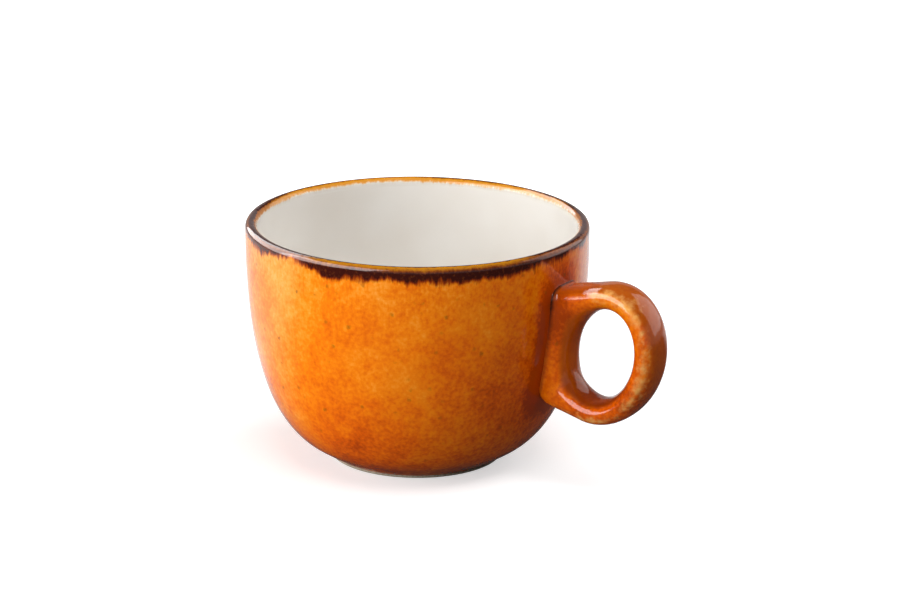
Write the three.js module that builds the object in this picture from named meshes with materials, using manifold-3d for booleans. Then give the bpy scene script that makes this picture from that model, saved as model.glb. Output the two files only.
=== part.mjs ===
// A glazed stoneware latte cup: a round-bellied bowl on a bare foot ring, with a cast ring handle
// stuck on with slip. Millimetres, z up. The cup stands on z = 0 with its handle along +x, and the
// origin is the middle of its footprint.

import * as THREE from 'three';
import { LoftGeometry } from 'three/addons/geometries/LoftGeometry.js';
import { mergeVertices } from 'three/addons/utils/BufferGeometryUtils.js';
import Module from 'manifold-3d';

const wasm = await Module();
wasm.setup();

// Bowl, measured over the glaze
const bowlDiameter = 105;
const bowlHeight = 74;
const lipThickness = 3.5;
const floorThickness = 5.2;
const bellyHeightPower = 2.31;
const bellyRadiusPower = 4.14;

// Foot ring, left bare where it stands
const footDiameter = 53.8;
const footHeight = 2;
const footRingWidth = 4.6;
const footEdge = 0.5;
const bareFootBand = 0.4;
const recessDepth = 2.6;
const recessFillet = 1.4;

// Ring handle, measured over the glaze
const fingerHoleHeight = 29;
const fingerHoleWidth = 20.6;
const ringThickness = 7.9;
const ringWidth = 13.7;
const ringSquareness = 2.4;
const ringTilt = THREE.MathUtils.degToRad(17);
const ringDropFromLip = 30.7;

// Root of the handle: its edges leave the ring on tangents and run into the wall
const rootThickness = 5.7;
const rootTopAngle = THREE.MathUtils.degToRad(115);
const rootBottomAngle = THREE.MathUtils.degToRad(271);
const rootDepth = 4;

// Coats and joints
const glazeThickness = 0.4;
const slipThickness = 0.4;
const rimBandOutside = 3.4;
const rimBandInside = 0.9;
const coatGap = 0.15;
const jointGap = 0.3;

// Facets
const turnSegments = 48;
const bellySteps = 10;
const rimSteps = 2;
const lipSteps = 6;
const filletSteps = 3;
const ringSteps = 24;
const rootSteps = 4;
const sectionSteps = 16;

// Clay sizes, inside the coats
const coat = glazeThickness + coatGap;
const bowlRadius = bowlDiameter / 2;
const lipRadius = lipThickness / 2 - coat;
const lipCentre = new THREE.Vector2(bowlRadius - lipThickness / 2, bowlHeight - lipThickness / 2);
const footRadius = footDiameter / 2 - coat;
const recessRadius = footRadius - footRingWidth;
const recessTop = recessDepth + coat;
const bareFootTop = footEdge + bareFootBand;

// Both walls follow one curve, (drop share)^p + (radius share)^q = 1, level at the bottom and upright
// at the lip. The outer one passes through the top edge of the foot, and the inner one ends on the floor.
const outerRadius = bowlRadius - coat;
const dropAtFoot = (1 - (footRadius / outerRadius) ** bellyRadiusPower) ** (1 / bellyHeightPower);
const outerBottom = lipCentre.y - (lipCentre.y - footHeight - coat) / dropAtFoot;
const outerWall = { radius: outerRadius, bottom: outerBottom };
const innerWall = { radius: bowlRadius - lipThickness + coat, bottom: recessDepth + floorThickness - coat };

function wallPoint(wall, turn) {
  const drop = Math.cos(turn) ** (2 / bellyHeightPower);
  const reach = Math.sin(turn) ** (2 / bellyRadiusPower);
  return new THREE.Vector2(wall.radius * reach, lipCentre.y - drop * (lipCentre.y - wall.bottom));
}

function turnAtHeight(wall, z) {
  const drop = (lipCentre.y - z) / (lipCentre.y - wall.bottom);
  return Math.acos(drop ** (bellyHeightPower / 2));
}

function turnAtRadius(wall, radius) {
  return Math.asin((radius / wall.radius) ** (bellyRadiusPower / 2));
}

function wallStretch(wall, fromTurn, toTurn, steps) {
  return steppedShares(steps).map((share) => wallPoint(wall, THREE.MathUtils.lerp(fromTurn, toTurn, share)));
}

function steppedShares(steps) {
  return Array.from({ length: steps + 1 }, (_, i) => i / steps);
}

// The clay's profile runs from the axis under the base, round the foot, up the outside, over the lip and
// down the inside to the axis. Its stretches are the places of the coats, with a gap between coats.
function baseStretch() {
  const radius = Math.min(recessFillet, (recessTop - bareFootTop) / 2);
  const centre = new THREE.Vector2(recessRadius - radius, recessTop - radius);
  const fillet = steppedShares(filletSteps).map((share) => {
    const turn = (Math.PI / 2) * (1 - share);
    return new THREE.Vector2(Math.cos(turn), Math.sin(turn)).multiplyScalar(radius).add(centre);
  });
  return [new THREE.Vector2(0, recessTop), ...fillet, new THREE.Vector2(recessRadius, bareFootTop)];
}

function footStretch() {
  return [
    new THREE.Vector2(recessRadius, footEdge),
    new THREE.Vector2(recessRadius + footEdge, 0),
    new THREE.Vector2(footRadius - footEdge, 0),
    new THREE.Vector2(footRadius, footEdge),
  ];
}

const bandFoot = lipCentre.y - rimBandOutside;
const bandInnerEdge = lipCentre.y - rimBandInside;

function outsideStretch() {
  const topTurn = turnAtHeight(outerWall, bandFoot - jointGap);
  const belly = wallStretch(outerWall, turnAtRadius(outerWall, footRadius), topTurn, bellySteps);
  return [new THREE.Vector2(footRadius, bareFootTop), ...belly];
}

function rimStretch() {
  const outer = wallStretch(outerWall, turnAtHeight(outerWall, bandFoot), Math.PI / 2, rimSteps);
  const inner = wallStretch(innerWall, Math.PI / 2, turnAtHeight(innerWall, bandInnerEdge), rimSteps);
  const lip = steppedShares(lipSteps).slice(1, -1).map((share) => {
    const turn = Math.PI * share;
    return new THREE.Vector2(Math.cos(turn), Math.sin(turn)).multiplyScalar(lipRadius).add(lipCentre);
  });
  return [...outer, ...lip, ...inner];
}

function insideStretch() {
  return wallStretch(innerWall, turnAtHeight(innerWall, bandInnerEdge - jointGap), 0, bellySteps);
}

const stretches = {
  base: baseStretch(),
  foot: footStretch(),
  outside: outsideStretch(),
  rim: rimStretch(),
  inside: insideStretch(),
};
const clayProfile = Object.values(stretches).flat();

// Outward direction of the clay's profile at each of its points, level with the axis at both ends.
const outward = new Map(clayProfile.map((point, i) => {
  const before = clayProfile[Math.max(i - 1, 0)];
  const after = clayProfile[Math.min(i + 1, clayProfile.length - 1)];
  const along = after.clone().sub(before).normalize();
  const onAxis = i === 0 || i === clayProfile.length - 1;
  const direction = onAxis ? new THREE.Vector2(0, Math.sign(-along.x)) : new THREE.Vector2(along.y, -along.x);
  return [point, direction];
}));

function raised(points, distance) {
  return points.map((point) => point.clone().addScaledVector(outward.get(point), distance));
}

function turned(profile) {
  return new THREE.LatheGeometry(profile, turnSegments).rotateX(Math.PI / 2);
}

// A layer over one stretch of the clay, between two distances from it.
function layer(points, from, to) {
  const profile = [...raised(points, to), ...raised(points, from).reverse()];
  const endsOnAxis = profile[0].x === 0;
  return turned(endsOnAxis ? profile : [...profile, profile[0]]);
}

// The full round of the cup's outside raised off the clay, to trim what is stuck on it.
function wallBlock(distance) {
  const side = raised([...stretches.outside, ...stretches.rim.slice(0, rimSteps + 1)], distance);
  return turned([new THREE.Vector2(0, side[0].y), ...side, new THREE.Vector2(0, side.at(-1).y)]);
}

// Ring handle, in the plane of x and z: two tilted ellipses, with straight edges that run on behind
// the wall's face as the root
const ringCentreHeight = bowlHeight - ringDropFromLip;
const wallAtRing = wallPoint(outerWall, turnAtHeight(outerWall, ringCentreHeight)).x + coat;
const ringCentre = new THREE.Vector2(wallAtRing + rootThickness + fingerHoleWidth / 2, ringCentreHeight);

function onEllipse(halfWidth, halfHeight, angle) {
  const point = new THREE.Vector2(halfWidth * Math.cos(angle), halfHeight * Math.sin(angle));
  return point.rotateAround(new THREE.Vector2(), -ringTilt).add(ringCentre);
}

function handleOutline(inset) {
  const holeHalf = [fingerHoleWidth / 2 + inset, fingerHoleHeight / 2 + inset];
  const outerHalf = holeHalf.map((half) => half + ringThickness - 2 * inset);
  const ringAngles = steppedShares(ringSteps).map(
    (share) => THREE.MathUtils.lerp(rootBottomAngle - 2 * Math.PI, rootTopAngle, share),
  );
  const ring = ringAngles.map((angle) => onEllipse(...outerHalf, angle));

  const behindWall = (angle) => {
    const start = onEllipse(...outerHalf, angle);
    const along = onEllipse(...outerHalf, angle + Math.PI / 2).sub(ringCentre).normalize();
    const reach = start.x - wallPoint(outerWall, turnAtHeight(outerWall, start.y)).x + rootDepth;
    return start.addScaledVector(along, -reach / along.x);
  };
  const corners = [ring.at(-1), behindWall(rootTopAngle), behindWall(rootBottomAngle), ring[0]];
  const root = corners.slice(1).flatMap((corner, i) =>
    steppedShares(rootSteps).slice(1).map((share) => corners[i].clone().lerp(corner, share)),
  );

  const rootAngles = root.map((_, i) =>
    THREE.MathUtils.lerp(rootTopAngle, rootBottomAngle, (i + 1) / root.length),
  );
  const hole = [...ringAngles, ...rootAngles].map((angle) => onEllipse(...holeHalf, angle));
  return { outer: [...ring, ...root], hole };
}

// Superellipse sections from the hole's edge to the outer edge, carried round the ring and its root.
function handleSolid(inset) {
  const { outer, hole } = handleOutline(inset);
  const halfWidth = ringWidth / 2 - inset;
  const rounded = (value) => Math.sign(value) * Math.abs(value) ** (2 / ringSquareness);
  const sections = outer.map((edge, i) => {
    const middle = edge.clone().lerp(hole[i], 0.5);
    return steppedShares(sectionSteps).slice(1).map((share) => {
      const turn = share * 2 * Math.PI;
      const point = middle.clone().lerp(edge, rounded(Math.cos(turn)));
      return new THREE.Vector3(point.x, halfWidth * rounded(Math.sin(turn)), point.y);
    });
  });
  return new LoftGeometry(sections);
}

// Booleans on closed meshes
function solid(geometry) {
  const bare = new THREE.BufferGeometry();
  bare.setAttribute('position', geometry.attributes.position);
  bare.setIndex(geometry.index);
  const merged = mergeVertices(bare);
  const corners = merged.index.array;
  const triVerts = [];
  for (let i = 0; i < corners.length; i += 3) {
    const face = corners.slice(i, i + 3);
    if (new Set(face).size === face.length) triVerts.push(...face);
  }
  const vertProperties = merged.attributes.position.array;
  const mesh = new wasm.Mesh({ numProp: 3, vertProperties, triVerts: new Uint32Array(triVerts) });
  return new wasm.Manifold(mesh);
}

function surface(manifold) {
  const { vertProperties, triVerts } = manifold.getMesh();
  const geometry = new THREE.BufferGeometry();
  geometry.setAttribute('position', new THREE.BufferAttribute(vertProperties, 3));
  geometry.setIndex(new THREE.BufferAttribute(triVerts, 1));
  geometry.computeVertexNormals();
  return geometry;
}

const clayHandle = solid(handleSolid(coat));
const glazeSeat = coat + jointGap;
const slipSeat = jointGap + slipThickness;

function ringHandle() {
  return surface(clayHandle.subtract(solid(wallBlock(slipSeat + jointGap))));
}

function handleSlip() {
  return surface(clayHandle.intersect(solid(layer(stretches.outside, jointGap, slipSeat))));
}

function bowlGlaze() {
  const skin = solid(layer(stretches.outside, coatGap, coat));
  return surface(skin.subtract(solid(handleSolid(coat - jointGap))));
}

function handleGlaze() {
  const skin = solid(handleSolid(0)).subtract(solid(handleSolid(glazeThickness)));
  return surface(skin.subtract(solid(wallBlock(glazeSeat))));
}

// Finishes
const biscuit = { color: '#d8cbb4', roughness: 0.85, metalness: 0 };
const slip = { color: '#cfc0a6', roughness: 0.9, metalness: 0 };
const amberGlaze = { color: '#d46a10', roughness: 0.12, metalness: 0 };
const rimGlaze = { color: '#3a1608', roughness: 0.15, metalness: 0 };
const creamGlaze = { color: '#ece6db', roughness: 0.12, metalness: 0 };

const cup = new THREE.Group();

function add(name, geometry, finish) {
  const mesh = new THREE.Mesh(geometry, new THREE.MeshStandardMaterial(finish));
  mesh.name = name;
  cup.add(mesh);
}

add('cup_body', turned(clayProfile), biscuit);
add('ring_handle', ringHandle(), biscuit);
add('handle_slip', handleSlip(), slip);
add('base_glaze', layer(stretches.base, coatGap, coat), amberGlaze);
add('bowl_glaze', bowlGlaze(), amberGlaze);
add('handle_glaze', handleGlaze(), amberGlaze);
add('rim_glaze', layer(stretches.rim, coatGap, coat), rimGlaze);
add('liner_glaze', layer(stretches.inside, coatGap, coat), creamGlaze);

// The bowl's axis stands off the origin by half of the handle's reach.
const extent = new THREE.Box3().setFromObject(cup);
cup.position.x = -(extent.min.x + extent.max.x) / 2;

const latteCup = new THREE.Group();
latteCup.add(cup);

export default latteCup;
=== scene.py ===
# A latte cup of amber-glazed stoneware with a ring handle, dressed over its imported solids.
# Metres, z up, in the solids' own frame: the cup stands on z = 0 with its handle along +x.

import math
import bpy
import numpy as np
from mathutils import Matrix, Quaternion, Vector


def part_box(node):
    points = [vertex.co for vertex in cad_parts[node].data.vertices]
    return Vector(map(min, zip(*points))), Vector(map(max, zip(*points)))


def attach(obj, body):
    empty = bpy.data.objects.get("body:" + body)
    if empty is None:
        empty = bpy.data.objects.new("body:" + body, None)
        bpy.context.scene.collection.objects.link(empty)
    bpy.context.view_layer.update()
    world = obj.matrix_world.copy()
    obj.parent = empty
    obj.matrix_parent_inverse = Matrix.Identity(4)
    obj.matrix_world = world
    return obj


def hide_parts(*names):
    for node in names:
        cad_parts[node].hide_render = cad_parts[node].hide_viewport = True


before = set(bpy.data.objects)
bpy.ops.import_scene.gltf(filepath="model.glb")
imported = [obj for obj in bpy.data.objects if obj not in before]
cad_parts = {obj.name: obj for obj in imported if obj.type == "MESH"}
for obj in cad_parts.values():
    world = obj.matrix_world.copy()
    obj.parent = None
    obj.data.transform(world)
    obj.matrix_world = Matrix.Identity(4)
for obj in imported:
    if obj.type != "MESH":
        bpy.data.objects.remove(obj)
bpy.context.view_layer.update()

# Cup body
# The bowl is cast from buff stoneware, trimmed at the foot and fired. It is bare only on the foot
# ring that stands on the kiln shelf; the rest of it lies under glaze.
MM = 0.001
rim_low, rim_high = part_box("rim_glaze")
base_low, base_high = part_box("base_glaze")
axis_x = (rim_low.x + rim_high.x) / 2
bowl_radius = (rim_high.y - rim_low.y) / 2
lip_radius = 1.75 * MM
lip_centre = np.array([bowl_radius - lip_radius, rim_high.z - lip_radius])
inner_radius = bowl_radius - 2 * lip_radius
belly_height_power = 2.31
belly_radius_power = 4.14
outer_bottom = -0.08 * MM
inner_bottom = 7.8 * MM
low_crowding = 2.5
glaze = 0.4 * MM
coat_gap = 0.15 * MM
clay_depth = glaze + coat_gap
glaze_foot = base_low.z
foot_radius = 26.9 * MM
foot_fillet = 6.0 * MM
foot_edge = 0.5 * MM
foot_ring_width = 4.6 * MM
bare_foot = foot_radius - coat_gap
bare_drop = 0.1 * MM
bare_top = glaze_foot - bare_drop
recess_radius = foot_radius - clay_depth - foot_ring_width
recess_top = base_high.z + clay_depth - glaze
recess_fillet = 1.4 * MM
waver_depth = 0.1 * MM
waver_waves = [(2, 30, 0), (5, -55, 1.1), (9, 140, 2.3), (14, -210, 0.7)]
turn_steps = 400
clay_spacing = 1.3 * MM
fine_points = 2000
bend_points = 17
lip_points = 58
pole_reach = 0.01 * MM
merge_reach = 1e-9
crease = math.radians(50)


def wall(radius, bottom, heights):
    """Radius of a wall at each height. The share of its drop below the lip's centre, to one power, and
    its share of the full radius, to another, add up to 1: level at the bottom, upright at the lip."""
    drop = np.clip((lip_centre[1] - heights) / (lip_centre[1] - bottom), 0, 1)
    return radius * (1 - drop**belly_height_power) ** (1 / belly_radius_power)


def wall_line(radius, bottom, low, high):
    """Points (radius, height) up a wall, crowded towards its low end, where it is nearly level: the
    heights grow as an even share to a power."""
    heights = low + (high - low) * np.linspace(0, 1, fine_points) ** low_crowding
    return np.column_stack([wall(radius, bottom, heights), heights])


def bend(start, corner, end):
    """A rounded corner: the quadratic curve from start to end that is drawn towards the corner."""
    share = np.linspace(0, 1, bend_points)[:, None]
    ends = (1 - share) ** 2 * np.array(start) + share**2 * np.array(end)
    return ends + 2 * share * (1 - share) * np.array(corner)


def even(line, spacing):
    """The same line with its points at even steps along its length."""
    steps = np.hypot(*np.diff(line, axis=0).T)
    length = np.concatenate([[0], np.cumsum(steps)])
    places = np.linspace(0, length[-1], round(length[-1] / spacing) + 1)
    return np.column_stack([np.interp(places, length, line[:, 0]), np.interp(places, length, line[:, 1])])


def raised(line, distance):
    """A profile moved square to itself, outwards from the clay on its left hand."""
    along = np.gradient(line, axis=0)
    along /= np.linalg.norm(along, axis=1, keepdims=True)
    return line + distance * np.column_stack([along[:, 1], -along[:, 0]])


def waver(turn, height):
    """How far the wall strays from round: the mean of sine waves, each with its count of waves round
    the bowl, its lean in radians for each metre up, and its start."""
    waves = [np.sin(count * turn + lean * height + start) for count, lean, start in waver_waves]
    return waver_depth * sum(waves) / len(waves)


def turned(profile):
    """A profile of (radius, height) carried round the bowl's axis, with the wall's waver added."""
    turn = np.linspace(0, 2 * np.pi, turn_steps, endpoint=False)
    radius, height = profile[:, :1], profile[:, 1:]
    radius = np.where(radius < pole_reach, 0, radius)
    radius = radius * (1 + waver(turn, height) / bowl_radius)
    place = [axis_x + radius * np.cos(turn), radius * np.sin(turn), height]
    return np.stack(np.broadcast_arrays(*place), axis=-1)


def grid_faces(grid, rows_close=False):
    """Corner numbers of a grid's four-sided faces. Its columns close into a ring, and its rows may."""
    number = np.arange(grid[..., 0].size).reshape(grid.shape[:2])
    number = np.hstack([number, number[:, :1]])
    if rows_close:
        number = np.vstack([number, number[:1]])
    corners = [number[:-1, :-1], number[:-1, 1:], number[1:, 1:], number[1:, :-1]]
    return np.stack(corners, axis=-1).reshape(-1, 4)


def build(name, points, faces, material, marks=None):
    """A smooth mesh object. Points that meet at a pole are merged, and the faces there lose a corner.
    Marks are numbers at each point that the material reads."""
    points = points.reshape(-1, 3)
    rounded = np.round(points / merge_reach).astype(np.int64)
    _, first, merged = np.unique(rounded, axis=0, return_index=True, return_inverse=True)
    used, faces = np.unique(first[merged.ravel()[faces]], return_inverse=True)
    faces = faces.reshape(-1, 4)
    from_pole = faces[:, 0] == faces[:, 1]
    to_pole = faces[:, 2] == faces[:, 3]
    corners = faces[~from_pole & ~to_pole].tolist()
    corners += faces[from_pole & ~to_pole][:, [0, 2, 3]].tolist()
    corners += faces[to_pole & ~from_pole][:, :3].tolist()
    mesh = bpy.data.meshes.new(name)
    mesh.from_pydata(points[used].tolist(), [], corners)
    for mark, values in (marks or {}).items():
        values = np.ravel(values)[used].astype(np.float32)
        mesh.attributes.new(mark, "FLOAT", "POINT").data.foreach_set("value", values)
    mesh.shade_smooth()
    mesh.set_sharp_from_angle(angle=crease)
    mesh.materials.append(material)
    piece = bpy.data.objects.new(name, mesh)
    bpy.context.scene.collection.objects.link(piece)
    return piece


def linear(colour):
    """An sRGB hex colour as the linear red, green, blue and alpha that a socket takes."""
    share = np.array([int(colour[i : i + 2], 16) for i in (1, 3, 5)]) / 255
    light = np.where(share <= 0.04045, share / 12.92, ((share + 0.055) / 1.055) ** 2.4)
    return (*light.tolist(), 1.0)


def add(tree, kind, sockets, output=0, stops=(), **settings):
    """Adds one node with its settings, links or sets the sockets that are named or numbered, and gives
    back one of its outputs. Stops are a ramp's places and hex colours."""
    node = tree.nodes.new("ShaderNode" + kind)
    for name, value in settings.items():
        setattr(node, name, value)
    for i, (position, colour) in enumerate(stops):
        stop = node.color_ramp.elements[i] if i < 2 else node.color_ramp.elements.new(position)
        stop.position = position
        stop.color = linear(colour)
    for socket, source in sockets.items():
        if isinstance(source, bpy.types.NodeSocket):
            tree.links.new(source, node.inputs[socket])
        else:
            node.inputs[socket].default_value = linear(source) if isinstance(source, str) else source
    return node.outputs[output]


def new_finish(name, roughness, specular=0.5):
    """A material with its shader, and the Object coordinates that its patterns are measured on."""
    material = bpy.data.materials.new(name)
    material.use_nodes = True
    tree = material.node_tree
    shader = tree.nodes["Principled BSDF"]
    shader.inputs["Roughness"].default_value = roughness
    shader.inputs["Specular IOR Level"].default_value = specular
    return material, tree, shader, add(tree, "TexCoord", {}, "Object")


# Buff stoneware, biscuit fired: dull and dry to the eye, warm grey cream, with fine sand in it. The
# sand is drawn about three times as coarse as it is, so that it shows.
sand = 0.6 * MM
sand_relief = 0.04 * MM
noise_detail = 3.0
clay_stops = [(0.3, "#8d826f"), (0.5, "#a69b87"), (0.7, "#b5ab98")]
biscuit, tree, shader, place = new_finish("biscuit_fired_buff_stoneware", roughness=0.85)
grit = add(tree, "TexNoise", {"Vector": place, "Scale": 1 / sand, "Detail": noise_detail})
tree.links.new(add(tree, "ValToRGB", {"Fac": grit}, stops=clay_stops), shader.inputs["Base Color"])
grain = add(tree, "Bump", {"Height": grit, "Distance": sand_relief, "Strength": 1.0})
tree.links.new(grain, shader.inputs["Normal"])

foot_side = np.array([foot_radius, glaze_foot])
belly = wall_line(bowl_radius, outer_bottom, glaze_foot, lip_centre[1])
belly = belly[belly[:, 0] > foot_radius + foot_fillet]
belly_slope = (belly[1] - belly[0]) / (belly[1, 0] - belly[0, 0])
foot_corner = belly[0] - belly_slope * (belly[0, 0] - foot_radius)
outside = np.vstack([bend(foot_side, foot_corner, belly[0]), belly])
lip_turn = np.linspace(0, np.pi, lip_points + 2)[1:-1, None]
lip = lip_centre + lip_radius * np.hstack([np.cos(lip_turn), np.sin(lip_turn)])
inside = wall_line(inner_radius, inner_bottom, inner_bottom, lip_centre[1])[::-1]
recess_corner = [recess_radius, recess_top]
recess_side = [recess_radius, recess_top - recess_fillet]
recess = np.vstack([
    [[0, recess_top], [recess_radius / 2, recess_top]],
    bend([recess_radius - recess_fillet, recess_top], recess_corner, recess_side),
])
foot_ring = np.vstack([
    bend([recess_radius, foot_edge], [recess_radius, 0], [recess_radius + foot_edge, 0]),
    bend([bare_foot - foot_edge, 0], [bare_foot, 0], [bare_foot, bare_top]),
])
clay_wall = raised(even(np.vstack([outside, lip, inside]), clay_spacing), -clay_depth)
clay_profile = np.vstack([even(recess, clay_spacing), foot_ring, clay_wall])
clay_profile[-1, 0] = 0
clay = turned(clay_profile)
cup_body = build("cup_body_clay", clay, grid_faces(clay), biscuit)
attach(cup_body, "root")
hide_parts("cup_body")

# Ring handle
# The handle is cast from the same clay in its own mould, as a full ring with a broad root, and stuck
# on while leather hard. Its root is cut to the curve of the wall.
hole_half = np.array([10.3, 14.5]) * MM
ring_thickness = 7.9 * MM
ring_half_width = 6.85 * MM
ring_reach = 18.55 * MM
ring_height = 43.3 * MM
ring_centre = np.array([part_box("handle_glaze")[1].x - ring_reach, ring_height])
ring_tilt = math.radians(17)
ring_squareness = 2.4
root_squareness = 6
hole_squareness = 2.0
root_top = math.radians(115)
root_bottom = math.radians(271)
root_depth = 4 * MM
corner_sharpness = 16
slip_film = 0.2 * MM
ring_steps = 320
section_steps = 104


def edge_stretch(angle, half):
    """How much further from the ring's centre than its ellipse the outer edge runs, at each angle.
    Between the root's two angles it follows the tangents there, 1 / cos(turn past the angle), and
    then a line behind the wall, with the corners between them rounded by a power sum."""
    to_wall = ring_centre[0] - axis_x - wall(bowl_radius, outer_bottom, ring_centre[1]) + root_depth
    behind = half * np.array([-math.cos(ring_tilt), -math.sin(ring_tilt)])
    toward = [(root_top, 1), (root_bottom, 1)]
    toward.append((math.atan2(behind[1], behind[0]) % (2 * np.pi), to_wall / np.linalg.norm(behind)))
    reach = [np.maximum(np.cos(angle - line) / far, 0) ** corner_sharpness for line, far in toward]
    in_root = (angle > root_top) & (angle < root_bottom)
    return np.where(in_root, sum(reach) ** (-1 / corner_sharpness), 1)


def in_ring_plane(half, angle, stretch=1):
    """Points (x, z) on an ellipse about the ring's centre that leans outwards at its top."""
    across = stretch * half[0] * np.cos(angle)
    up = stretch * half[1] * np.sin(angle)
    lean = [math.cos(ring_tilt), math.sin(ring_tilt)]
    return ring_centre + np.column_stack([across * lean[0] + up * lean[1], up * lean[0] - across * lean[1]])


def handle_surface(inset):
    """The ring's skin at a depth under its glaze: from the finger hole's ellipse to the outer edge, each
    section is a superellipse, and the sections are carried once round the ring."""
    angle = np.linspace(0, 2 * np.pi, ring_steps, endpoint=False)
    turn = np.linspace(0, 2 * np.pi, section_steps, endpoint=False)
    outer_half = hole_half + ring_thickness - inset
    stretch = edge_stretch(angle, outer_half)
    hole = in_ring_plane(hole_half + inset, angle)[:, None]
    outer = in_ring_plane(outer_half, angle, stretch)[:, None]
    outer_power = ring_squareness + root_squareness * (stretch[:, None] - 1)
    power = 2 / np.where(np.cos(turn) < 0, hole_squareness, outer_power)
    out = np.sign(np.cos(turn)) * np.abs(np.cos(turn)) ** power
    side = np.sign(np.sin(turn)) * np.abs(np.sin(turn)) ** power
    flat = (hole + outer) / 2 + (outer - hole) / 2 * out[..., None]
    return np.stack([flat[..., 0], (ring_half_width - inset) * side, flat[..., 1]], axis=-1)


def off_wall(points):
    """How far each point stands off the bowl's glazed outside, measured level from the axis."""
    turn = np.arctan2(points[..., 1], points[..., 0] - axis_x)
    reach = np.hypot(points[..., 1], points[..., 0] - axis_x)
    return reach - wall(bowl_radius, outer_bottom, points[..., 2]) - waver(turn, points[..., 2])


def seated(points, gap):
    """The same points, with those that stand less than gap off the wall drawn out to that gap."""
    level = points[..., :2] - [axis_x, 0]
    outward = level / np.linalg.norm(level, axis=-1, keepdims=True)
    short = np.maximum(gap - off_wall(points), 0)[..., None]
    return np.concatenate([points[..., :2] + short * outward, points[..., 2:]], axis=-1)


ring = seated(handle_surface(clay_depth), slip_film)
ring_handle = build("ring_handle_clay", ring, grid_faces(ring, rows_close=True), biscuit)
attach(ring_handle, "root")
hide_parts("ring_handle")

# Handle slip
# A film of the same clay, let down with water, sticks the root to the wall. It is squeezed thin when
# the handle is pressed on; the glaze covers its edge. Its solid has the right shape and stays.
slip_stops = [(0.35, "#b5a68a"), (0.65, "#cbbfa7")]

# Fired slip: the clay's finest part, so it is drier and paler to the eye, with little sand.
dried_slip, tree, shader, place = new_finish("fired_clay_slip", roughness=0.9)
dust = add(tree, "TexNoise", {"Vector": place, "Scale": 1 / sand})
tree.links.new(add(tree, "ValToRGB", {"Fac": dust}, stops=slip_stops), shader.inputs["Base Color"])
handle_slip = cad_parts["handle_slip"]
handle_slip.data.materials.clear()
handle_slip.data.materials.append(dried_slip)

# Base glaze
# The recess inside the foot ring carries a thin coat of amber glaze. A quick dip leaves it there, and
# the kiln fuses it to the clay.
point_spacing = 0.8 * MM
cloud = 24 * MM
mottle = 4.5 * MM
fleck = 1.2 * MM
amber_layers = [(cloud, 0.4), (mottle, 0.25), (fleck, 0.35)]
amber_level = -0.185
# Partly painted shade: the amber deepens along this slope, low down and on the side away from the key
# light.
slope_thinning_and_shade = (-1.1, -0.7, 3.2)
amber_stops = [
    (0.22, "#b04203"), (0.34, "#d85a04"), (0.44, "#ea7006"), (0.53, "#f38209"), (0.63, "#f99a2c"),
    (0.8, "#fdb45c"),
]
speck_spacing = 4.2 * MM
speck_size = 1.0 * MM
speckless = 0.33
speck_brown = "#7a4a08"
skin_wave = 7 * MM
skin_peel = 1.6 * MM
peel_share = 0.16
skin_relief = 0.22 * MM
glaze_shine = {"roughness": 0.08, "specular": 0.5}
soft = {"interpolation_type": "SMOOTHSTEP"}

# A Mix node's colour sockets share their names with its other sockets, so they go by number.
FACTOR = 0
FIRST = 6
SECOND = 7
colours = {"output": 2, "data_type": "RGBA"}


def coat(face, back, faces):
    """Closes a skin: its face, its back turned over, and a strip along each edge that one face has."""
    sides = np.vstack([faces[:, [0, 1]], faces[:, [1, 2]], faces[:, [2, 3]], faces[:, [3, 0]]])
    _, first, times = np.unique(np.sort(sides, axis=1), axis=0, return_index=True, return_counts=True)
    edge = sides[first[times == 1]]
    below = face[..., 0].size
    strip = np.column_stack([edge[:, 1], edge[:, 0], edge[:, 0] + below, edge[:, 1] + below])
    points = np.vstack([face.reshape(-1, 3), back.reshape(-1, 3)])
    return points, np.vstack([faces, faces[:, ::-1] + below, strip])


def layered(tree, level, *layers):
    """A level with layers added to it, each a pattern's value times its weight."""
    for value, weight in layers:
        level = add(tree, "Math", {0: value, 1: weight, 2: level}, operation="MULTIPLY_ADD")
    return level


def amber_colour(tree, place, *runs):
    """Amber glaze by how thin it lies: clouds, a finer mottle and flecks, from rust where it is thick to
    straw where it is thin. Along a slope it is redder low down, partly where it runs thicker and partly
    as painted shade, and redder on the handle's side, away from the key light, as painted shade. Round
    dots in some cells of a cell pattern are soft specks of iron. Runs are more layers."""
    paler_along_slope = add(tree, "VectorMath", {0: place, 1: slope_thinning_and_shade}, "Value", operation="DOT_PRODUCT")
    layers = [(paler_along_slope, 1.0), *runs]
    for size, weight in amber_layers:
        pattern = add(tree, "TexNoise", {"Vector": place, "Scale": 1 / size, "Detail": noise_detail})
        layers.append((pattern, weight))
    colour = add(tree, "ValToRGB", {"Fac": layered(tree, amber_level, *layers)}, stops=amber_stops)
    wander = add(tree, "TexNoise", {"Vector": place, "Scale": 1 / speck_size}, "Color")
    bent = add(tree, "VectorMath", {0: wander, 1: [speck_size] * 3, 2: place}, operation="MULTIPLY_ADD")
    cell = add(tree, "TexVoronoi", {"Vector": bent, "Scale": 1 / speck_spacing}, "Distance")
    strength = add(tree, "MapRange", {"Value": cell.node.outputs["Color"], "From Min": speckless}, **soft)
    speck = add(tree, "MapRange", {
        "Value": cell, "From Min": speck_size / speck_spacing, "From Max": 0.0, "To Max": strength,
    }, **soft)
    return add(tree, "Mix", {FACTOR: speck, FIRST: colour, SECOND: speck_brown}, **colours)


def glaze_skin(tree, place):
    """The normals of a fired glaze: long shallow waves, and a fine orange peel on them."""
    waves = add(tree, "TexNoise", {"Vector": place, "Scale": 1 / skin_wave})
    peel = add(tree, "TexNoise", {"Vector": place, "Scale": 1 / skin_peel})
    height = layered(tree, 0.0, (waves, 1.0), (peel, peel_share))
    return add(tree, "Bump", {"Height": height, "Distance": skin_relief, "Strength": 1.0})


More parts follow.
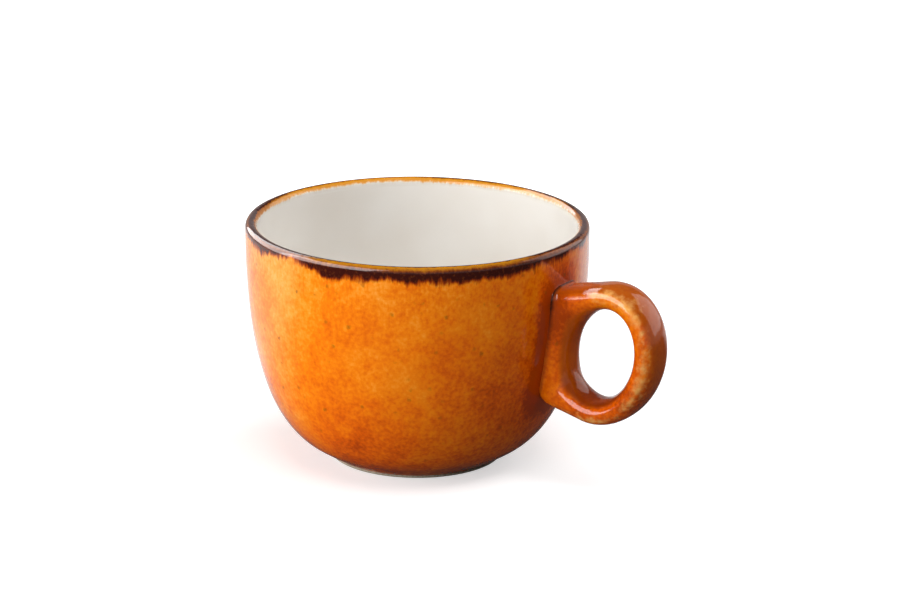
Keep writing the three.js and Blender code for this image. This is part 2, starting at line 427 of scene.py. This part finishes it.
# Amber glaze, dipped and fired: a thin coloured glass, wet to the eye, uneven in depth.
amber_glaze, tree, shader, place = new_finish("amber_glaze_dipped_and_fired", **glaze_shine)
tree.links.new(amber_colour(tree, place), shader.inputs["Base Color"])
tree.links.new(glaze_skin(tree, place), shader.inputs["Normal"])

base_line = np.vstack([recess, [[recess_radius, glaze_foot]]])
base_line = raised(even(base_line, point_spacing), clay_depth - glaze)
base_face = turned(raised(base_line, glaze))
base_back = turned(base_line)
base_glaze = build("base_glaze_coat", *coat(base_face, base_back, grid_faces(base_face)), amber_glaze)
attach(base_glaze, "root")
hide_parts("base_glaze")

# Bowl glaze
# The bowl is dipped in amber glaze, which runs a little. It is deeper low down and on the handle's
# side, partly as painted shade, and painted shade darkens it beside the handle's root. The root keeps
# it off the wall, and the rim's brushed band laps over its upper edge.
band_foot = rim_low.z
band_lap = 0.5 * MM
opening_half = np.array([4.5, 13]) * MM
opening_middle = np.array([0, 44]) * MM
opening_squareness = 4
# Painted shade beside the handle's root: its half size, middle and how far it fades.
root_shade_half = np.array([6.5, 16]) * MM
root_shade_middle = np.array([-3, 46]) * MM
root_shade_fade = 1.7


def past_crest(profile):
    """How far down the outside each point of a profile lies from the lip's crest, or less than 0 inside:
    the arc over the lip and then the drop below it, for the face and the back of a coat."""
    outward = np.where(np.arange(len(profile)) <= profile[:, 1].argmax(), 1, -1)
    over = np.maximum(profile[:, 1] - lip_centre[1], 0)
    arc = lip_radius * np.arctan2(np.abs(profile[:, 0] - lip_centre[0]), over)
    down = np.maximum(lip_centre[1] - profile[:, 1], 0)
    return np.tile(np.repeat(outward * (arc + down), turn_steps), 2)


def near_root(face):
    """How near each point is to the painted shade beside the handle's root, for a coat's face and back: 1
    in a superellipse beside the root, falling evenly to 0 at a larger one of the same shape."""
    powers = np.abs((face[..., 1:] - root_shade_middle) / root_shade_half) ** opening_squareness
    times_size = powers.sum(axis=-1) ** (1 / opening_squareness)
    share = np.clip((root_shade_fade - times_size) / (root_shade_fade - 1), 0, 1)
    return np.tile(np.where(face[..., 0] > axis_x, share, 0).ravel(), 2)


# Amber glaze under a brushed iron rim: the band runs into the amber in fine teeth, near black where it
# is thick and rust at its edge. Over the lip it breaks to honey on both sides of a dark line along the
# crest, and is darker where the brush strokes end. The brush's hairs are drawn coarse enough to show.
stroke_waver = 13 * MM
stroke_patch = 34 * MM
tooth = 1.5 * MM
hair = 0.6 * MM
crumb = 0.9 * MM
tooth_draw = 0.3
noise_mean = 0.5
stroke_turn = math.radians(32.43)
stroke_aside = np.array([math.cos(stroke_turn), math.sin(stroke_turn), 0]) / bowl_radius
stroke_near = np.array([math.sin(stroke_turn), -math.cos(stroke_turn), 0]) / bowl_radius
end_near = 0.2
end_waver = 0.4
end_ramp = {"From Min": 0.62, "From Max": 0.82}
crumb_drop = {"From Min": 0.4 * MM, "From Max": 1.4 * MM}
crumb_ramp = {"From Min": 0.5, "From Max": 0.8}
crumb_brown = "#5e2a0c"
run_drop = {"From Min": 30 * MM, "From Max": 5 * MM, "To Max": 0.16}
# Painted shade: how much the amber deepens beside the handle's root.
root_painted_shade = -0.4
edge_rust = "#9a3a04"

# Across the lip and the band, in millimetres past the crest: how far each pattern frays them, and ramps.
lip_tooth = 1.2
lip_hair = 0.8
lip_patch = 2.5
lip_ramp = {"From Min": -4.0, "From Max": 4.0}
band_stroke = 9.0
band_tooth = 3.6
band_hair = 1.6
band_end = 1.8
band_ramp = {"From Min": 5.7, "From Max": 4.1}
rust_ramp = {"From Min": 6.7, "From Max": 4.9}
thin_stops = [
    (0.08, "#e8e4de"), (0.175, "#e0d9ce"), (0.215, "#e2b884"), (0.26, "#d9913a"), (0.37, "#cc861c"),
    (0.42, "#a8620e"), (0.455, "#4a1a08"), (0.54, "#5a2408"), (0.59, "#b8780f"), (0.69, "#a8640e"),
    (0.76, "#7a3a10"), (0.83, "#3a0f07"),
]
thick_stops = [
    (0.08, "#e8e4de"), (0.18, "#e0d9ce"), (0.215, "#d6a878"), (0.26, "#b8701a"), (0.38, "#9a5510"),
    (0.43, "#3c1206"), (0.58, "#42150a"), (0.65, "#8a4a1a"), (0.76, "#5a220a"), (0.83, "#3a0f07"),
]
rim_finish, tree, shader, place = new_finish("amber_glaze_with_brushed_iron_rim", **glaze_shine)
past = add(tree, "Attribute", {}, "Fac", attribute_name="past_crest")
drawn = add(tree, "Mapping", {"Vector": place, "Scale": (1, 1, tooth_draw)})
strokes = add(tree, "TexNoise", {"Vector": place, "Scale": 1 / stroke_waver, "Detail": noise_detail})
strokes_patchy = add(tree, "TexNoise", {"Vector": place, "Scale": 1 / stroke_patch})
teeth = add(tree, "TexNoise", {"Vector": drawn, "Scale": 1 / tooth, "Detail": noise_detail})
hairs = add(tree, "TexNoise", {"Vector": drawn, "Scale": 1 / hair})
crumbs = add(tree, "TexNoise", {"Vector": place, "Scale": 1 / crumb, "Detail": noise_detail})

off_axis = add(tree, "VectorMath", {0: place, 1: (axis_x, 0, 0)}, operation="SUBTRACT")
aside = add(tree, "VectorMath", {0: off_axis, 1: stroke_aside}, "Value", operation="DOT_PRODUCT")
either = add(tree, "Math", {0: aside}, operation="ABSOLUTE")
nearer = add(tree, "VectorMath", {0: off_axis, 1: stroke_near}, "Value", operation="DOT_PRODUCT")
endmost = layered(tree, -noise_mean * end_waver, (either, 1.0), (nearer, end_near), (strokes, end_waver))
stroke_end = add(tree, "MapRange", {"Value": endmost, **end_ramp}, **soft)

lip_level = -noise_mean * (lip_tooth + lip_hair + lip_patch)
lip_frays = [(teeth, lip_tooth), (hairs, lip_hair), (strokes_patchy, lip_patch)]
across_lip = layered(tree, lip_level, (past, 1 / MM), *lip_frays)
across = add(tree, "MapRange", {"Value": across_lip, **lip_ramp})
thin = add(tree, "ValToRGB", {"Fac": across}, stops=thin_stops)
thick = add(tree, "ValToRGB", {"Fac": across}, stops=thick_stops)
brushed = add(tree, "Mix", {FACTOR: stroke_end, FIRST: thin, SECOND: thick}, **colours)
below_lip = add(tree, "MapRange", {"Value": past, **crumb_drop}, **soft)
crumbly = add(tree, "MapRange", {"Value": crumbs, "To Max": below_lip, **crumb_ramp}, **soft)
iron = add(tree, "Mix", {FACTOR: crumbly, FIRST: brushed, SECOND: crumb_brown}, **colours)

runs = add(tree, "MapRange", {"Value": past, **run_drop}, **soft)
# Painted shade deepens the amber beside the handle's root.
rootward = add(tree, "Attribute", {}, "Fac", attribute_name="near_root")
amber = amber_colour(tree, place, (hairs, runs), (runs, -noise_mean), (rootward, root_painted_shade))
band_level = -noise_mean * (band_stroke + band_tooth + band_hair)
band_frays = [(strokes, band_stroke), (teeth, band_tooth), (hairs, band_hair), (stroke_end, band_end)]
down_band = layered(tree, band_level, (past, 1 / MM), *band_frays)
rusting = add(tree, "MapRange", {"Value": down_band, **rust_ramp}, **soft)
rusted = add(tree, "Mix", {FACTOR: rusting, FIRST: amber, SECOND: edge_rust}, **colours)
in_band = add(tree, "MapRange", {"Value": down_band, **band_ramp}, **soft)
banded = add(tree, "Mix", {FACTOR: in_band, FIRST: rusted, SECOND: iron}, **colours)
tree.links.new(banded, shader.inputs["Base Color"])
tree.links.new(glaze_skin(tree, place), shader.inputs["Normal"])

bowl_line = even(outside[outside[:, 1] < band_foot + band_lap], point_spacing)
bowl_face = turned(bowl_line)
bowl_back = turned(raised(bowl_line, -glaze))
bowl_faces = grid_faces(bowl_face)
middle = bowl_face.reshape(-1, 3)[bowl_faces].mean(axis=1)
off_opening = np.abs((middle[:, 1:] - opening_middle) / opening_half) ** opening_squareness
under_root = (off_opening.sum(axis=1) < 1) & (middle[:, 0] > axis_x)
bowl_faces = bowl_faces[~under_root]
bowl_marks = {"past_crest": past_crest(bowl_line), "near_root": near_root(bowl_face)}
bowl_glaze = build("bowl_glaze_coat", *coat(bowl_face, bowl_back, bowl_faces), rim_finish, bowl_marks)
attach(bowl_glaze, "root")
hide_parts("bowl_glaze")

# Handle glaze
# The handle is dipped with the bowl in the same amber glaze. The glaze draws away from the ring's sides
# and gathers in a small fillet where the root meets the wall.
fillet_reach = 0.9 * MM
fillet_height = 1.6 * MM
root_burial = 0.5 * MM
root_shade = 15 * MM

# Amber glaze broken over an edge: it thins to straw in spots along the ring's two sides, set toward the
# outer shoulder partly as painted light on that face, which turns from the key. It is rust in the hole,
# with painted shade darkening the hole low down, and rust along the outer edge, most at its top. Painted
# shade darkens the top of the root and painted light lightens its foot a little, and a painted shadow
# runs as a brown line in the corner at the wall. Ramps run over the mark from outer edge to hole, -1 to 1.
spot = 2.2 * MM
spot_patch = 11 * MM
hole_ramp = {"From Min": 0.38, "From Max": 0.72, "To Max": 0.85}
hole_heights = {"From Min": 28 * MM, "From Max": 42 * MM}
hole_painted_shade = "#6e2606"
hole_rust = "#ba580c"
outer_ramp = {"From Min": 0.55, "From Max": 1.05, "To Max": 0.85}
outer_height = 43 * MM
outer_rise = 18.0
outer_rust = "#9c4208"
# Painted shade darkens the root's top, and painted light lightens its foot a little.
root_shade_heights = {"From Min": 34 * MM, "From Max": 58 * MM, "To Min": 0.08, "To Max": -0.34}
side_middle = -0.35
break_side = -0.5
break_spot = 0.8
break_patch = 0.6
break_root = -0.3
break_ramp = {"From Min": 0.5, "From Max": 1.04}
straw = "#f2ba66"
# Painted shadow: a brown line in the corner where the root meets the wall, strongest at the top.
crease_shade_heights = {"From Min": 46 * MM, "From Max": 57 * MM, "To Min": 0.35}
crease_shade_ramp = {"From Min": 0.25, "From Max": 0.9}
crease_shade_brown = "#4a1a05"
broken_glaze, tree, shader, place = new_finish("amber_glaze_broken_over_an_edge", **glaze_shine)
inward = add(tree, "Attribute", {}, "Fac", attribute_name="toward_hole")
by_root = add(tree, "Attribute", {}, "Fac", attribute_name="near_root")
wallward = add(tree, "Attribute", {}, "Fac", attribute_name="near_wall")
height = add(tree, "SeparateXYZ", {0: place}, "Z")
spots = add(tree, "TexNoise", {"Vector": place, "Scale": 1 / spot, "Detail": noise_detail})
spots_patchy = add(tree, "TexNoise", {"Vector": place, "Scale": 1 / spot_patch})

# Painted shade near the top of the root, and painted light low on it.
root_shade_by_height = add(tree, "MapRange", {"Value": height, **root_shade_heights}, **soft)
ring_amber = amber_colour(tree, place, (by_root, root_shade_by_height))
in_hole = add(tree, "MapRange", {"Value": inward, **hole_ramp}, **soft)
# Painted shade: the hole's colour is darker low down.
up_hole = add(tree, "MapRange", {"Value": height, **hole_heights}, **soft)
hole_colour = add(tree, "Mix", {FACTOR: up_hole, FIRST: hole_painted_shade, SECOND: hole_rust}, **colours)
holed = add(tree, "Mix", {FACTOR: in_hole, FIRST: ring_amber, SECOND: hole_colour}, **colours)
outermost = layered(tree, -outer_rise * outer_height, (inward, -1.0), (height, outer_rise))
outer = add(tree, "MapRange", {"Value": outermost, **outer_ramp}, **soft)
gathered = add(tree, "Mix", {FACTOR: outer, FIRST: holed, SECOND: outer_rust}, **colours)

# The straw spots sit toward the outer shoulder, partly as painted light on that face, which turns from the
# key.
off_side = add(tree, "Math", {0: layered(tree, -side_middle, (inward, 1.0))}, operation="ABSOLUTE")
break_layers = [(off_side, break_side), (spots, break_spot), (spots_patchy, break_patch)]
thinnest = layered(tree, 0.0, *break_layers, (by_root, break_root))
breaking = add(tree, "MapRange", {"Value": thinnest, **break_ramp}, **soft)
broken = add(tree, "Mix", {FACTOR: breaking, FIRST: gathered, SECOND: straw}, **colours)
# Painted shadow line in the corner at the wall.
crease_shade_depth = add(tree, "MapRange", {"Value": height, **crease_shade_heights}, **soft)
in_crease_shade = add(tree, "MapRange", {"Value": wallward, "To Max": crease_shade_depth, **crease_shade_ramp}, **soft)
crease_shaded = add(tree, "Mix", {FACTOR: in_crease_shade, FIRST: broken, SECOND: crease_shade_brown}, **colours)
tree.links.new(crease_shaded, shader.inputs["Base Color"])
tree.links.new(glaze_skin(tree, place), shader.inputs["Normal"])

skin = handle_surface(0)
round_ring = np.roll(skin, -1, axis=0) - np.roll(skin, 1, axis=0)
round_section = np.roll(skin, -1, axis=1) - np.roll(skin, 1, axis=1)
facing = np.cross(round_section, round_ring)
facing /= np.linalg.norm(facing, axis=-1, keepdims=True)
outward = (skin - [axis_x, 0, 0]) * [1, 1, 0]
outward /= np.linalg.norm(outward, axis=-1, keepdims=True)
along_wall = facing - (facing * outward).sum(axis=-1, keepdims=True) * outward
along_wall /= np.linalg.norm(along_wall, axis=-1, keepdims=True)
nearness = np.clip(1 - off_wall(skin) / fillet_height, 0, 1)
gather = fillet_reach * nearness[..., None] ** 2 * along_wall
handle_face = seated(skin + gather, -root_burial)
handle_back = seated(handle_surface(glaze) + gather, -root_burial)
handle_faces = grid_faces(handle_face, rows_close=True)
buried = (off_wall(skin + gather) < -root_burial).ravel()
handle_faces = handle_faces[~buried[handle_faces].all(axis=1)]
toward_hole = -np.cos(np.linspace(0, 2 * np.pi, section_steps, endpoint=False))
# The near_root mark carries the painted shade at the root; near_wall carries the painted shadow line.
near_the_root = np.clip(1 - off_wall(skin) / root_shade, 0, 1)
handle_marks = {
    "toward_hole": np.tile(toward_hole, 2 * ring_steps),
    "near_wall": np.tile(nearness.ravel(), 2),
    "near_root": np.tile(near_the_root.ravel(), 2),
}
handle_coat = coat(handle_face, handle_back, handle_faces)
handle_glaze = build("handle_glaze_coat", *handle_coat, broken_glaze, handle_marks)
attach(handle_glaze, "root")
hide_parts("handle_glaze")

# Rim glaze
# A dark iron glaze is brushed over the lip before the firing. It takes the same finish as the bowl's
# coat, which carries on the teeth of its lower edge.
rim_lift = 0.01 * MM
rim_inside = 1.0 * MM
rim_spacing = 0.16 * MM
rim_outer = outside[outside[:, 1] > band_foot]
rim_inner = inside[inside[:, 1] > lip_centre[1] - rim_inside]
rim_line = even(np.vstack([rim_outer, lip, rim_inner]), rim_spacing)
rim_face = turned(raised(rim_line, rim_lift))
rim_back = turned(raised(rim_line, -glaze))
rim_marks = {"past_crest": past_crest(rim_line), "near_root": near_root(rim_face)}
rim_glaze = build("rim_glaze_coat", *coat(rim_face, rim_back, grid_faces(rim_face)), rim_finish, rim_marks)
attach(rim_glaze, "root")
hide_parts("rim_glaze")

# Liner glaze
# The inside carries a cream glaze. It is poured full and emptied again, which leaves an even, glossy
# coat that ends under the rim's brushed band.
liner_lap = 0.6 * MM
pool = 24 * MM
cream_stops = [(0.3, "#e4dfd8"), (0.7, "#eae7e2")]

# Cream glaze, poured and fired: a smooth opaque glass, with slow pools a shade deeper than the rest.
cream_glaze, tree, shader, place = new_finish("cream_glaze_poured_and_fired", roughness=0.1, specular=0.4)
pools = add(tree, "TexNoise", {"Vector": place, "Scale": 1 / pool})
tree.links.new(add(tree, "ValToRGB", {"Fac": pools}, stops=cream_stops), shader.inputs["Base Color"])

liner_line = even(inside[inside[:, 1] < lip_centre[1] - liner_lap], point_spacing)
liner_line[-1, 0] = 0
liner_face = turned(liner_line)
liner_back = turned(raised(liner_line, -glaze))
liner_glaze = build("liner_glaze_coat", *coat(liner_face, liner_back, grid_faces(liner_face)), cream_glaze)
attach(liner_glaze, "root")
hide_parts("liner_glaze")

# Studio
# A white paper sweep rises all round, lit by soft boxes on both sides and overhead. Boxes named for
# their shine show only in the glaze, and the others only light it. The paper's own glow lights nothing.
sweep_flat = 1.7
sweep_radius = 2.3
sweep_bend = 0.6
sweep_height = 1.0
sweep_steps = 96
camera_azimuth = math.radians(32.43)
camera_elevation = math.radians(17.714)
aim = Vector((axis_x, 0, 36 * MM))


def direction(azimuth, elevation):
    """The way from the cup to a place at an azimuth right of the camera's and an elevation."""
    turn = camera_azimuth + azimuth
    level = math.cos(elevation)
    return Vector((math.sin(turn) * level, -math.cos(turn) * level, math.sin(elevation)))


# White paper, matt. The camera sees it pale, with the cup's shadow, whiter further off. To bounced light
# it is grey, with painted light making it paler on the key's side. The glaze mirrors it as a painted
# reflection: dark near the cup and bright behind it, brightest behind on the left.
paper_seen = "#d2d2d2"
paper_mirrored = "#303030"
paper_grey = "#868686"
paper_painted_lit = "#d8d8d8"
key_azimuth = math.radians(-90)
key_ramp = {"From Min": 0.0, "From Max": 0.08}
# Painted reflection: a glow that only the glaze sees, behind the cup on the left.
painted_reflection_azimuth = math.radians(-160)
painted_reflection_ramp = {"From Min": 0.0, "From Max": 0.11, "To Min": 0.03, "To Max": 0.93}
seen_glow = {"From Min": 0.1, "From Max": 0.35, "To Min": 0.55, "To Max": 1.0}
mirrored_glow = {"From Min": 0.3, "From Max": 1.0, "To Max": 0.4}
sweep_paper, tree, shader, place = new_finish("white_paper_sweep", roughness=0.9, specular=0.0)
rays = add(tree, "LightPath", {}).node.outputs
seen = add(tree, "Math", {0: rays["Is Camera Ray"], 1: rays["Is Transmission Ray"]}, operation="MAXIMUM")
mirrored = rays["Is Glossy Ray"]
keyward = {0: place, 1: direction(key_azimuth, 0)}
to_key = add(tree, "VectorMath", keyward, "Value", operation="DOT_PRODUCT")
painted_key_light = add(tree, "MapRange", {"Value": to_key, **key_ramp}, **soft)
# Painted light: to bounced light the paper is paler on the key's side.
bounced = add(tree, "Mix", {FACTOR: painted_key_light, FIRST: paper_grey, SECOND: paper_painted_lit}, **colours)
unseen = add(tree, "Mix", {FACTOR: mirrored, FIRST: bounced, SECOND: paper_mirrored}, **colours)
paper = add(tree, "Mix", {FACTOR: seen, FIRST: unseen, SECOND: paper_seen}, **colours)
tree.links.new(paper, shader.inputs["Base Color"])

# Painted reflection: the glaze sees the paper dark near the cup and glowing behind it, brightest behind on
# the left.
away = add(tree, "VectorMath", {0: place}, "Value", operation="LENGTH")
backward = {0: place, 1: direction(painted_reflection_azimuth, 0)}
to_back = add(tree, "VectorMath", backward, "Value", operation="DOT_PRODUCT")
painted_reflection_side = add(tree, "MapRange", {"Value": to_back, **painted_reflection_ramp}, **soft)
to_camera = add(tree, "MapRange", {"Value": away, **seen_glow}, **soft)
to_glaze = add(tree, "MapRange", {"Value": away, "To Min": painted_reflection_side, **mirrored_glow}, **soft)
glow = layered(tree, 0.0, (to_camera, seen), (to_glaze, mirrored))
tree.links.new(glow, shader.inputs["Emission Strength"])
shader.inputs["Emission Color"].default_value = linear("#ffffff")

sweep_line = np.vstack([
    [[0, 0]],
    bend([sweep_flat, 0], [sweep_radius, 0], [sweep_radius, sweep_bend]),
    [[sweep_radius, sweep_height]],
])
sweep_turn = np.linspace(0, 2 * np.pi, sweep_steps, endpoint=False)
sweep_reach = sweep_line[:, :1]
sweep_place = [sweep_reach * np.cos(sweep_turn), sweep_reach * np.sin(sweep_turn), sweep_line[:, 1:]]
sweep = np.stack(np.broadcast_arrays(*sweep_place), axis=-1)
floor = build("sweep", sweep, grid_faces(sweep)[:, ::-1], sweep_paper)


def softbox(name, azimuth, elevation, distance, size, radiance, lights=True, shines=True):
    """A lamp that faces the cup, at degrees from the camera and above the floor. Its power is its radiance
    times pi times its area. It lights the cup, shines in its glaze, or both."""
    lamp = bpy.data.lights.new(name, "AREA")
    lamp.shape = "RECTANGLE"
    lamp.size = size[0]
    lamp.size_y = size[1]
    lamp.energy = radiance * math.pi * size[0] * size[1]
    box = bpy.data.objects.new(name, lamp)
    toward = direction(math.radians(azimuth), math.radians(elevation))
    box.location = aim + toward * distance
    box.rotation_mode = "QUATERNION"
    box.rotation_quaternion = (-toward).to_track_quat("-Z", "Y")
    box.visible_camera = False
    box.visible_diffuse = lights
    box.visible_glossy = shines
    bpy.context.scene.collection.objects.link(box)


overhead = {"azimuth": 30, "elevation": 76, "distance": 1.1, "size": (0.9, 0.9)}
softbox("key_left", azimuth=-60, elevation=16, distance=0.9, size=(1.2, 0.5), radiance=4.7, shines=False)
softbox("shine_left", azimuth=-65, elevation=28, distance=0.9, size=(1.2, 0.8), radiance=5.8, lights=False)
softbox("shine_back", azimuth=-125, elevation=28, distance=0.9, size=(1.0, 0.8), radiance=5, lights=False)
softbox("fill_right", azimuth=118, elevation=30, distance=1.0, size=(0.6, 0.6), radiance=3.9, shines=False)
softbox("shine_right", azimuth=112, elevation=25, distance=1.0, size=(0.9, 0.8), radiance=1.2, lights=False)
softbox("overhead", **overhead, radiance=4.4, shines=False)
softbox("shine_over", **overhead, radiance=0.8, lights=False)
room_light = 0.08
world = bpy.data.worlds.new("dim_room")
world.use_nodes = True
world.node_tree.nodes["Background"].inputs["Color"].default_value = linear("#ffffff")
world.node_tree.nodes["Background"].inputs["Strength"].default_value = room_light
bpy.context.scene.world = world
bpy.context.scene.view_settings.view_transform = "Standard"

# Camera
# It stands where the photograph's camera stood, a metre off and rolled a little. The aim's pixel in
# the 900 by 600 frame gives the turn from the bowl's axis to the middle of the picture.
picture_width = 900
picture_height = 600
aim_pixel = (416.87, 338.59)
focal_pixels = 3400
camera_distance = 1.047
camera_roll = math.radians(0.375)
camera_data = bpy.data.cameras.new("camera")
camera_data.sensor_width = 36
camera_data.lens = focal_pixels * camera_data.sensor_width / picture_width
camera = bpy.data.objects.new("camera", camera_data)
toward_camera = direction(0, camera_elevation)
camera.location = aim + toward_camera * camera_distance
aim_ray = Vector((aim_pixel[0] - picture_width / 2, picture_height / 2 - aim_pixel[1], -focal_pixels))
turn_aside = aim_ray.rotation_difference(Vector((0, 0, -1)))
upright = (-toward_camera).to_track_quat("-Z", "Y")
camera.rotation_mode = "QUATERNION"
camera.rotation_quaternion = upright @ Quaternion((0, 0, 1), camera_roll) @ turn_aside
bpy.context.scene.collection.objects.link(camera)
bpy.context.scene.camera = camera

# Both boxes, the solids' and the finished cup's, are kept for comparison.
bpy.context.view_layer.update()
